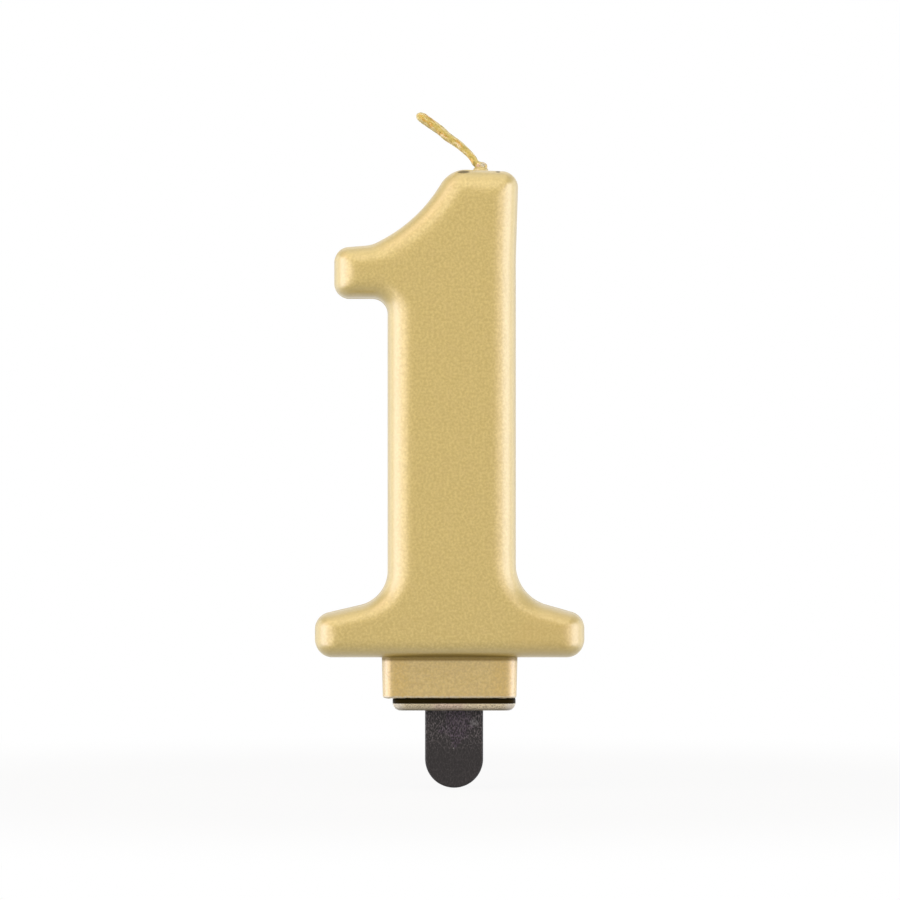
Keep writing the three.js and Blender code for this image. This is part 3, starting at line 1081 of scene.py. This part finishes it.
@dataclass
class WaxNumeral:
    """The wax casting: numeral, pedestal and the nub round the wick.

    The nub's profile is in millimetres: pairs of a radius and a height above the wax.
    """

    shape: NumeralShape = field(default_factory=NumeralShape)
    edge: Edge = Edge(
        depth=3.3 * MM, draft=0.03, steps=20, seam=0.014, seam_half=0.15 * MM, power=2.5
    )
    pedestal_width: float = 20.4 * MM
    pedestal_depth: float = 7.6 * MM
    pedestal_height: float = 6 * MM
    pedestal_corner: float = 1.6 * MM
    pedestal_draft: float = 0.2 * MM
    pedestal_lip: float = 0.35 * MM
    pedestal_root: float = 2 * MM
    pedestal_stride: float = 0.3 * MM
    pedestal_drop: float = 0.1 * MM
    ragged_lip: float = 0.13 * MM
    ragged_pace: float = 2500
    nub_profile: tuple[Pair, ...] = (
        (1.25, -1.0), (1.2, -0.25), (1.12, -0.02), (1.04, 0.14), (0.95, 0.24), (0.78, 0.3),
        (0.5, 0.33),
    )
    nub_swell: float = 0.09
    nub_lift: float = 0.05
    nub_sides: int = 40
    wick_x: float = 4.0 * MM
    wick_in_wax: float = 45.3 * MM
    bore_radius: float = 0.78 * MM
    mouth_radius: float = 0.55 * MM
    mouth_depth: float = 0.8 * MM
    bore_sides: int = 32
    slot: Triple = (6.6 * MM, 2.6 * MM, 11.0 * MM)
    slot_corner: float = 0.2 * MM
    past: float = 1 * MM
    finish: GoldLacquer = GoldLacquer()

    def build(self) -> bpy.types.Object:
        """Builds the casting and puts it in place of its solid.

        Returns:
            The casting.
        """
        low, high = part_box("wax_numeral")
        middle = Vector(((low.x + high.x) / 2, 0.0, low.z))
        foot = middle + UP * self.pedestal_height
        wax = slab("wax_casting", self.shape.outline(), high.y - low.y, self.edge, foot)
        change(wax, self._pedestal(middle - UP * self.pedestal_drop), Cut.JOIN)
        change(wax, self._nub(self.mouth()), Cut.JOIN)
        change(wax, self._bore(self.mouth()), Cut.REMOVE)
        change(wax, self._slot(middle.z), Cut.REMOVE)
        dress(wax, self.finish.material(), "candle", "wax_numeral")
        return wax

    def mouth(self) -> Vector:
        """Where the wick comes out of the wax."""
        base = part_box("wax_numeral")[0].z
        return Vector((self.wick_x, 0.0, base + self.pedestal_height + self.shape.height))

    def _pedestal(self, at: Vector) -> bpy.types.Object:
        """Makes the pedestal, with its root in the foot and a ragged lower lip.

        Args:
            at: the middle of its underside.

        Returns:
            The pedestal.
        """
        levels = quarter(self.pedestal_lip, 5, self.pedestal_draft)
        levels.append((self.pedestal_lip * 1.5, self.pedestal_draft * 0.98))
        levels.append((self.pedestal_height + self.pedestal_root, 0.0))
        size = (self.pedestal_width, self.pedestal_depth)
        made = block("pedestal", size, self.pedestal_corner, levels, at, self.pedestal_stride)
        for vertex in made.data.vertices:
            height = vertex.co.z - at.z
            if height < self.pedestal_lip:
                share = 1 - height / self.pedestal_lip
                rough = noise.fractal(vertex.co * self.ragged_pace, 0.8, 2.0, 3)
                vertex.co.z += self.ragged_lip * share * (0.5 + 0.5 * rough)
        return made

    def _nub(self, at: Vector) -> bpy.types.Object:
        """Makes the low lump of wax that closes round the wick, a little uneven.

        Args:
            at: where the wick comes out.

        Returns:
            The lump.
        """
        rings = []
        for radius, height in self.nub_profile:
            ring = []
            for i in range(self.nub_sides):
                away = around(i, self.nub_sides)
                swell = 1 + self.nub_swell * noise.noise(away * 1.7 + UP * height)
                lift = self.nub_lift * noise.noise(away * 1.3 + UP * 7.0) * (height > 0)
                ring.append(at + away * (radius * swell * MM) + UP * ((height + lift) * MM))
            rings.append(ring)
        return lofted("nub", rings)

    def _bore(self, mouth: Vector) -> bpy.types.Object:
        """Makes the bore for the wick, which narrows at its mouth.

        Args:
            mouth: the middle of its mouth.

        Returns:
            The bore as a solid.
        """
        levels = (
            (-self.wick_in_wax, self.bore_radius),
            (-self.mouth_depth, self.bore_radius),
            (-self.mouth_depth / 2, self.mouth_radius),
            (self.past, self.mouth_radius),
        )
        sides = self.bore_sides
        rings = [[mouth + UP * z + around(i, sides) * r for i in range(sides)] for z, r in levels]
        return lofted("bore", rings)

    def _slot(self, base: float) -> bpy.types.Object:
        """Makes the slot that the pick's tang stands in.

        Args:
            base: the height of the wax's underside.

        Returns:
            The slot as a solid.
        """
        width, depth, height = self.slot
        levels = ((-self.past, 0.0), (height, 0.0))
        return block("slot", (width, depth), self.slot_corner, levels, Vector((0.0, 0.0, base)))


@dataclass(frozen=True)
class Route:
    """A smooth curve through points, in even steps."""

    points: Sequence[Vector]
    step: float
    parts: int = 24

    def walk(self) -> list[tuple[float, Vector]]:
        """Walks the curve.

        Returns:
            The length walked and the place at every step.
        """
        parts = self.parts
        spans = range(len(self.points) - 1)
        fine = [self._at(span, part / parts) for span in spans for part in range(parts)]
        fine.append(self.points[-1])
        walked = [0.0]
        for before, after in zip(fine, fine[1:]):
            walked.append(walked[-1] + (after - before).length)
        count = max(2, round(walked[-1] / self.step))
        stations = []
        i = 0
        for n in range(count + 1):
            want = walked[-1] * n / count
            while i < len(walked) - 2 and walked[i + 1] < want:
                i += 1
            share = (want - walked[i]) / (walked[i + 1] - walked[i])
            stations.append((want, fine[i].lerp(fine[i + 1], share)))
        return stations

    def _at(self, span: int, t: float) -> Vector:
        """Finds a point of the curve.

        Args:
            span: the number of the span between two points.
            t: the share of the span before it.

        Returns:
            The point.
        """
        last = len(self.points) - 1
        a = self.points[max(span - 1, 0)]
        b = self.points[span]
        c = self.points[span + 1]
        d = self.points[min(span + 2, last)]
        square = (a * 2 - b * 5 + c * 4 - d) * t**2
        return (b * 2 + (c - a) * t + square + (b * 3 - a - c * 3 + d) * t**3) / 2


def tube(
    form: bmesh.types.BMesh,
    points: Sequence[Vector],
    reach: Callable[[int, float], Pair],
    sides: int,
) -> None:
    """Adds a closed tube through points.

    Args:
        form: the bmesh to add to.
        points: the middles of its rings.
        reach: gives how far ring number i reaches sideways and to the back at an angle.
        sides: how many points each ring has.
    """
    last = len(points) - 1
    rings = []
    for i, point in enumerate(points):
        ahead = (points[min(i + 1, last)] - points[max(i - 1, 0)]).normalized()
        side = ahead.cross(BACK).normalized()
        deep = side.cross(ahead)
        ring = []
        for step in range(sides):
            angle = 2 * math.pi * step / sides
            wide, far = reach(i, angle)
            ring.append(point + side * (math.sin(angle) * wide) + deep * (math.cos(angle) * far))
        rings.append(ring)
    loft(form, rings)


def between(place: float, table: Sequence[Pair]) -> float:
    """Reads a table, in a straight line between its rows.

    Args:
        place: the place to read at.
        table: pairs of a place and a value.

    Returns:
        The value there.
    """
    for (x0, y0), (x1, y1) in zip(table, table[1:]):
        if place <= x1:
            return y0 + (y1 - y0) * max(0.0, (place - x0) / (x1 - x0))
    return table[-1][1]


def around(step: int, steps: int) -> Vector:
    """The level direction at one step of a full turn."""
    angle = 2 * math.pi * step / steps
    return Vector((math.cos(angle), math.sin(angle), 0.0))


@dataclass(frozen=True)
class Plait:
    """The relief of a flat plait, whose slanting plies meet along the middle of each side."""

    pitch: float = 0.98 * MM
    slant: float = 0.62
    depth: float = 0.085
    valley: float = 0.7
    edge_share: float = 0.45
    drift: float = 0.35
    drift_pace: float = 900
    worn: float = 0.3
    worn_pace: float = 1500

    def relief(self, walked: float, angle: float) -> float:
        """How far the surface stands out.

        Args:
            walked: the place along the cord.
            angle: the angle round it.

        Returns:
            The change of its radius, as a share.
        """
        across = math.sin(angle)
        half = 0.5 if across > 0 else 0.0
        place = Vector((walked * self.drift_pace, half * 9, math.cos(angle) * 0.6))
        drift = self.drift * noise.noise(place)
        phase = walked / self.pitch + half + self.slant * abs(across) + drift
        ridge = abs(math.sin(math.pi * phase)) - self.valley
        place = Vector((walked * self.worn_pace, angle * 1.3, 4.0))
        wear = 1 - self.worn * (0.5 + noise.noise(place))
        turned = self.edge_share + (1 - self.edge_share) * abs(math.cos(angle))
        return self.depth * ridge * wear * turned


@dataclass
class Wick:
    """The plaited cotton wick, straight in its bore and folded over to the left above it.

    Its tables are in millimetres from the mouth of the bore. The route has places to the right
    and up, the widths have a place along it and half a width, and the loops are loose plies at
    the fold, with places to the right, up and back.
    """

    mouth: Vector
    in_wax: float = 45 * MM
    route: tuple[Pair, ...] = (
        (0.0, -0.8), (0.0, 0.0), (-0.1, 0.3), (-0.42, 0.66), (-0.8, 0.98), (-1.1, 1.5),
        (-1.47, 2.0), (-2.35, 2.87), (-3.27, 3.67), (-4.18, 4.31), (-5.08, 4.93), (-5.98, 5.75),
        (-6.88, 6.4), (-7.77, 7.02), (-8.66, 7.67), (-9.62, 8.22),
    )
    widths: tuple[Pair, ...] = (
        (-0.8, 0.46), (0.3, 0.56), (1.2, 0.55), (2.6, 0.53), (4.5, 0.6), (7.0, 0.67), (9.5, 0.73),
        (11.8, 0.76), (12.7, 0.56),
    )
    plait: Plait = Plait()
    deep: float = 0.92
    tip: float = 0.62 * MM
    tip_share: float = 0.03
    sides: int = 40
    step: float = 0.08 * MM
    buried_steps: int = 4
    loops: tuple[tuple[Triple, ...], ...] = (
        ((0.1, -0.4, -0.1), (0.6, 0.1, -0.12), (0.66, 0.55, -0.1), (0.3, 0.8, -0.08),
         (-0.35, 0.85, 0.0)),
        ((0.3, -0.4, 0.25), (0.55, 0.1, 0.28), (0.45, 0.6, 0.25), (0.0, 0.85, 0.2),
         (-0.6, 1.0, 0.1)),
        ((-0.1, -0.4, -0.4), (0.2, 0.05, -0.5), (0.16, 0.5, -0.5), (-0.15, 0.74, -0.45),
         (-0.7, 0.9, -0.2)),
    )
    loop_radius: float = 0.29 * MM
    loop_end: float = 0.75
    loop_sides: int = 12
    crease: float = 60.0
    finish: WickLacquer = WickLacquer()

    def build(self) -> bpy.types.Object:
        """Builds the wick and puts it in place of its solid.

        Returns:
            The wick.
        """
        form = bmesh.new()
        self._cord(form)
        for loop in self.loops:
            self._loop(form, loop)
        wick = mesh_object("plaited_wick", form, self.crease)
        dress(wick, self.finish.material(), "candle", "wick")
        return wick

    def _cord(self, form: bmesh.types.BMesh) -> None:
        """Adds the cord, from the end of its bore to its rounded tip.

        Args:
            form: the bmesh to add to.
        """
        stations = Route([self._point(x, 0.0, z) for x, z in self.route], self.step).walk()
        start = self.route[0][1] * MM
        buried = round((self.in_wax + start) / (self.buried_steps * self.step))
        walked = [-self.in_wax + i * self.buried_steps * self.step for i in range(buried)]
        points = [self.mouth + UP * place for place in walked]
        walked += [start + place for place, _ in stations]
        points += [point for _, point in stations]
        end = walked[-1]

        def reach(i: int, angle: float) -> Pair:
            """Finds how far the cord reaches.

            Args:
                i: the ring's number.
                angle: the angle round the cord.

            Returns:
                Its reach sideways and to the back.
            """
            half = between(walked[i] / MM, self.widths) * MM
            past = max(0.0, (walked[i] - end + self.tip) / self.tip)
            half *= math.sqrt(max(self.tip_share, 1 - past**2))
            half *= 1 + self.plait.relief(walked[i], angle)
            return half, half * self.deep

        tube(form, points, reach, self.sides)

    def _loop(self, form: bmesh.types.BMesh, loop: Sequence[Triple]) -> None:
        """Adds a loose ply that bulges out at the fold.

        Args:
            form: the bmesh to add to.
            loop: the points that it goes through, in millimetres.
        """
        stations = Route([self._point(x, y, z) for x, z, y in loop], self.step).walk()
        last = len(stations) - 1

        def reach(i: int, _: float) -> Pair:
            """How far ring i reaches, thinner towards both ends."""
            swell = (1 - self.loop_end) * math.sin(math.pi * i / last)
            return (self.loop_radius * (self.loop_end + swell),) * 2

        tube(form, [point for _, point in stations], reach, self.loop_sides)

    def _point(self, x: float, y: float, z: float) -> Vector:
        """The point x right, y back and z up from the mouth of the bore, in millimetres."""
        return self.mouth + Vector((x, y, z)) * MM


@dataclass
class CakePick:
    """The plastic pick: flange, blade and tang in one moulding.

    The pip's profile has pairs of how far it stands out and how wide it is, as shares of its
    radius.
    """

    flange_size: Pair = (18.4 * MM, 6.8 * MM)
    flange_thickness: float = 1.6 * MM
    flange_top: float = 1.76 * MM
    flange_corner: float = 1.5 * MM
    flange_lower: float = 1.2 * MM
    flange_upper: float = 0.15 * MM
    blade_width: float = 8.7 * MM
    blade_length: float = 11.65 * MM
    blade_thickness: float = 2 * MM
    blade_edge: float = 0.35 * MM
    tang_width: float = 6 * MM
    tang_tip: float = 5 * MM
    tang_length: float = 11 * MM
    tang_nose: float = 1.2 * MM
    tang_edge: float = 0.3 * MM
    root_corner: float = 0.05 * MM
    pip: Pair = (-0.09 * MM, -5.7 * MM)
    pip_radius: float = 0.13 * MM
    pip_profile: tuple[Pair, ...] = ((-2.0, 1.0), (0.0, 1.0), (0.3, 0.9), (0.5, 0.6), (0.56, 0.25))
    pip_sides: int = 16
    finish: BlackPlastic = BlackPlastic()

    def build(self) -> bpy.types.Object:
        """Builds the pick and puts it in place of its solid.

        Returns:
            The pick.
        """
        pick = self._flange()
        for part in (self._blade(), self._tang(), self._pip()):
            change(pick, part, Cut.JOIN)
        dress(pick, self.finish.material(), "pick", "cake_pick")
        return pick

    def _flange(self) -> bpy.types.Object:
        """Makes the flange that rests on the cake.

        Returns:
            The flange.
        """
        lower = quarter(self.flange_lower, 10)
        top = self.flange_top
        upper = [(top - z, inset) for z, inset in reversed(quarter(self.flange_upper, 4))]
        levels = [*lower, *upper]
        return block("moulded_pick", self.flange_size, self.flange_corner, levels, Vector())

    def _blade(self) -> bpy.types.Object:
        """Makes the blade that goes into the cake.

        Returns:
            The blade.
        """
        half = self.blade_width / 2
        root = self.flange_thickness / 2
        low = (half, -self.blade_length, half)
        return self._tongue("blade", (half, root, self.root_corner), low, self.blade_edge, 6)

    def _tang(self) -> bpy.types.Object:
        """Makes the tang that goes into the candle.

        Returns:
            The tang.
        """
        root = (self.tang_width / 2, self.flange_thickness / 2, self.root_corner)
        tip = (self.tang_tip / 2, self.flange_thickness + self.tang_length, self.tang_nose)
        return self._tongue("tang", tip, root, self.tang_edge, 5)

    def _tongue(
        self, name: str, upper: Triple, lower: Triple, side: float, steps: int
    ) -> bpy.types.Object:
        """A flat tongue, alike on its left and right.

        Args:
            name: the object's name.
            upper: half its width, its height and its corners' radius at the upper end.
            lower: the same at the lower end.
            side: the radius of its rounded edges.
            steps: how many steps round them.

        Returns:
            The tongue.
        """
        (x_low, z_low, r_low), (x_high, z_high, r_high) = lower, upper
        corners = (
            Corner(-x_low, z_low, r_low, side),
            Corner(x_low, z_low, r_low, side),
            Corner(x_high, z_high, r_high, side),
            Corner(-x_high, z_high, r_high, side),
        )
        edge = Edge(depth=side, draft=0.0, steps=steps, support=0.1)
        return slab(name, Outline(corners), self.blade_thickness, edge, Vector())

    def _pip(self) -> bpy.types.Object:
        """Makes the pip that the moulding's gate left on the blade.

        Returns:
            The pip.
        """
        x, z = self.pip
        rings = []
        for forward, share in self.pip_profile:
            front = -self.blade_thickness / 2 - forward * self.pip_radius
            ring = []
            for i in range(self.pip_sides):
                away = around(i, self.pip_sides) * self.pip_radius * share
                ring.append(Vector((x + away.x, front, z + away.y)))
            rings.append(ring)
        return lofted("pip", rings)


@dataclass(frozen=True)
class Softbox:
    """A soft lamp that faces the candle. glow is how bright its cloth is, where 1 is white."""

    name: str
    azimuth: float
    elevation: float
    width: float
    height: float
    glow: float
    tint: Triple = (1.0, 1.0, 1.0)
    distance: float = 0.7

    def hang(self, target: Vector) -> None:
        """Hangs the lamp.

        Args:
            target: the point that it faces.
        """
        turn = math.radians(self.azimuth)
        rise = math.radians(self.elevation)
        level = math.cos(rise)
        away = Vector((math.sin(turn) * level, -math.cos(turn) * level, math.sin(rise)))
        data = bpy.data.lights.new(self.name, "AREA")
        data.shape = "RECTANGLE"
        data.size = self.width
        data.size_y = self.height
        data.energy = self.glow * math.pi * self.width * self.height
        data.color = self.tint
        lamp = bpy.data.objects.new(self.name, data)
        lamp.location = target + away * self.distance
        lamp.rotation_euler = (-away).to_track_quat("-Z", "Y").to_euler()
        lamp.visible_camera = False
        bpy.context.scene.collection.objects.link(lamp)


@dataclass
class Studio:
    """Camera, lamps, floor and world."""

    pixel: float = 0.15 * MM
    pixels: int = 900
    distance: float = 0.8
    sensor: float = 0.036
    clip: Pair = (0.05, 20.0)
    zero_row: float = 709.8
    zero_column: float = 454.1
    floor_gap: float = 0.2 * MM
    floor_half: float = 3.0
    floor_white: float = 0.92
    floor_grey: Colour = (0.8, 0.8, 0.8, 1)
    shadow_reach: float = 60 * MM
    shadow_end: float = 160 * MM
    ambient: float = 0.0
    target: Vector = field(default_factory=lambda: Vector((0.0, 0.0, 0.04)))
    lamps: tuple[Softbox, ...] = (
        Softbox("left_main", -72, 0, 0.6, 0.7, 2.18, (0.97, 0.96, 1.17)),
        Softbox("left_front", -35, 0, 0.3, 0.7, 1.79, (1.1, 0.97, 0.9)),
        Softbox("left_back", -118, 0, 0.4, 0.7, 0.9),
        Softbox("right_main", 72, 0, 0.6, 0.7, 2.17, (0.97, 0.97, 1.14)),
        Softbox("right_front", 35, 0, 0.3, 0.7, 1.04, (1.14, 0.93, 0.92)),
        Softbox("right_back", 118, 0, 0.4, 0.7, 1.0),
        Softbox("left_high", -65, 43, 0.4, 0.4, 1.3, (1.22, 0.95, 0.86)),
        Softbox("top_front", 0, 49, 0.7, 0.5, 1.15, (1.08, 0.99, 0.82)),
        Softbox("top", 0, 87, 0.7, 0.36, 0.9, (1.06, 0.98, 0.78)),
        Softbox("top_back", 180, 50, 0.7, 0.3, 0.52),
    )

    def build(self) -> None:
        """Builds the whole studio."""
        self._camera()
        self._floor()
        self._world()
        for lamp in self.lamps:
            lamp.hang(self.target)

    def _camera(self) -> None:
        """A long lens, level, straight in front."""
        wide = self.pixels * self.pixel
        data = bpy.data.cameras.new("camera")
        data.sensor_width = self.sensor / MM
        data.lens = self.sensor / MM * self.distance / wide
        data.clip_start, data.clip_end = self.clip
        camera = bpy.data.objects.new("camera", data)
        x = (self.pixels / 2 - self.zero_column) * self.pixel
        z = (self.zero_row - self.pixels / 2) * self.pixel
        camera.location = (x, -self.distance, z)
        camera.rotation_euler = (math.pi / 2, 0.0, 0.0)
        bpy.context.scene.collection.objects.link(camera)
        bpy.context.scene.camera = camera

    def _floor(self) -> None:
        """A pale floor, white to the camera apart from the shadow. The lamps shine through it."""
        form = bmesh.new()
        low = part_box("cake_pick")[0].z - self.floor_gap
        bmesh.ops.create_grid(form, x_segments=8, y_segments=8, size=self.floor_half)
        bmesh.ops.translate(form, verts=form.verts, vec=(0.0, 0.0, low))
        floor = mesh_object("floor", form)
        floor.visible_shadow = False
        floor.visible_diffuse = False
        floor.visible_glossy = False
        sheet = Sheet.material("floor_white")
        clear = sheet.length(sheet.place()).ramp(self.shadow_reach, self.shadow_end)
        lit = self.floor_white + (1 - self.floor_white) * clear
        plain = sheet.node("ShaderNodeBsdfDiffuse", inputs={"Color": self.floor_grey})
        bright = sheet.node("ShaderNodeEmission", inputs={"Color": WHITE, "Strength": 1.0})
        share = sheet.in_sight() * lit
        both = sheet.node("ShaderNodeMixShader", inputs={0: share, 1: plain, 2: bright})
        floor.data.materials.append(sheet.surface(both))

    def _world(self) -> None:
        """White where the camera looks, dim where the object does."""
        sheet = Sheet.world("studio")
        dim, bright = (
            sheet.node("ShaderNodeBackground", inputs={"Color": WHITE, "Strength": strength})
            for strength in (self.ambient, 1.0)
        )
        both = sheet.node("ShaderNodeMixShader", inputs={0: sheet.in_sight(), 1: dim, 2: bright})
        bpy.context.scene.world = sheet.surface(both)


def main() -> None:
    """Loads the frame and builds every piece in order."""
    logging.basicConfig(level=logging.INFO, format="%(name)s %(message)s")
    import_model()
    studio = Studio()
    studio.build()
    LOG.info("studio: %d lamps", len(studio.lamps))
    numeral = WaxNumeral()
    for maker in (numeral, Wick(numeral.mouth()), CakePick()):
        piece = maker.build()
        LOG.info("%s: %d faces", piece.name, len(piece.data.polygons))
    bpy.context.scene.view_settings.view_transform = "Standard"
    bpy.context.view_layer.update()


if __name__ == "__main__":
    main()
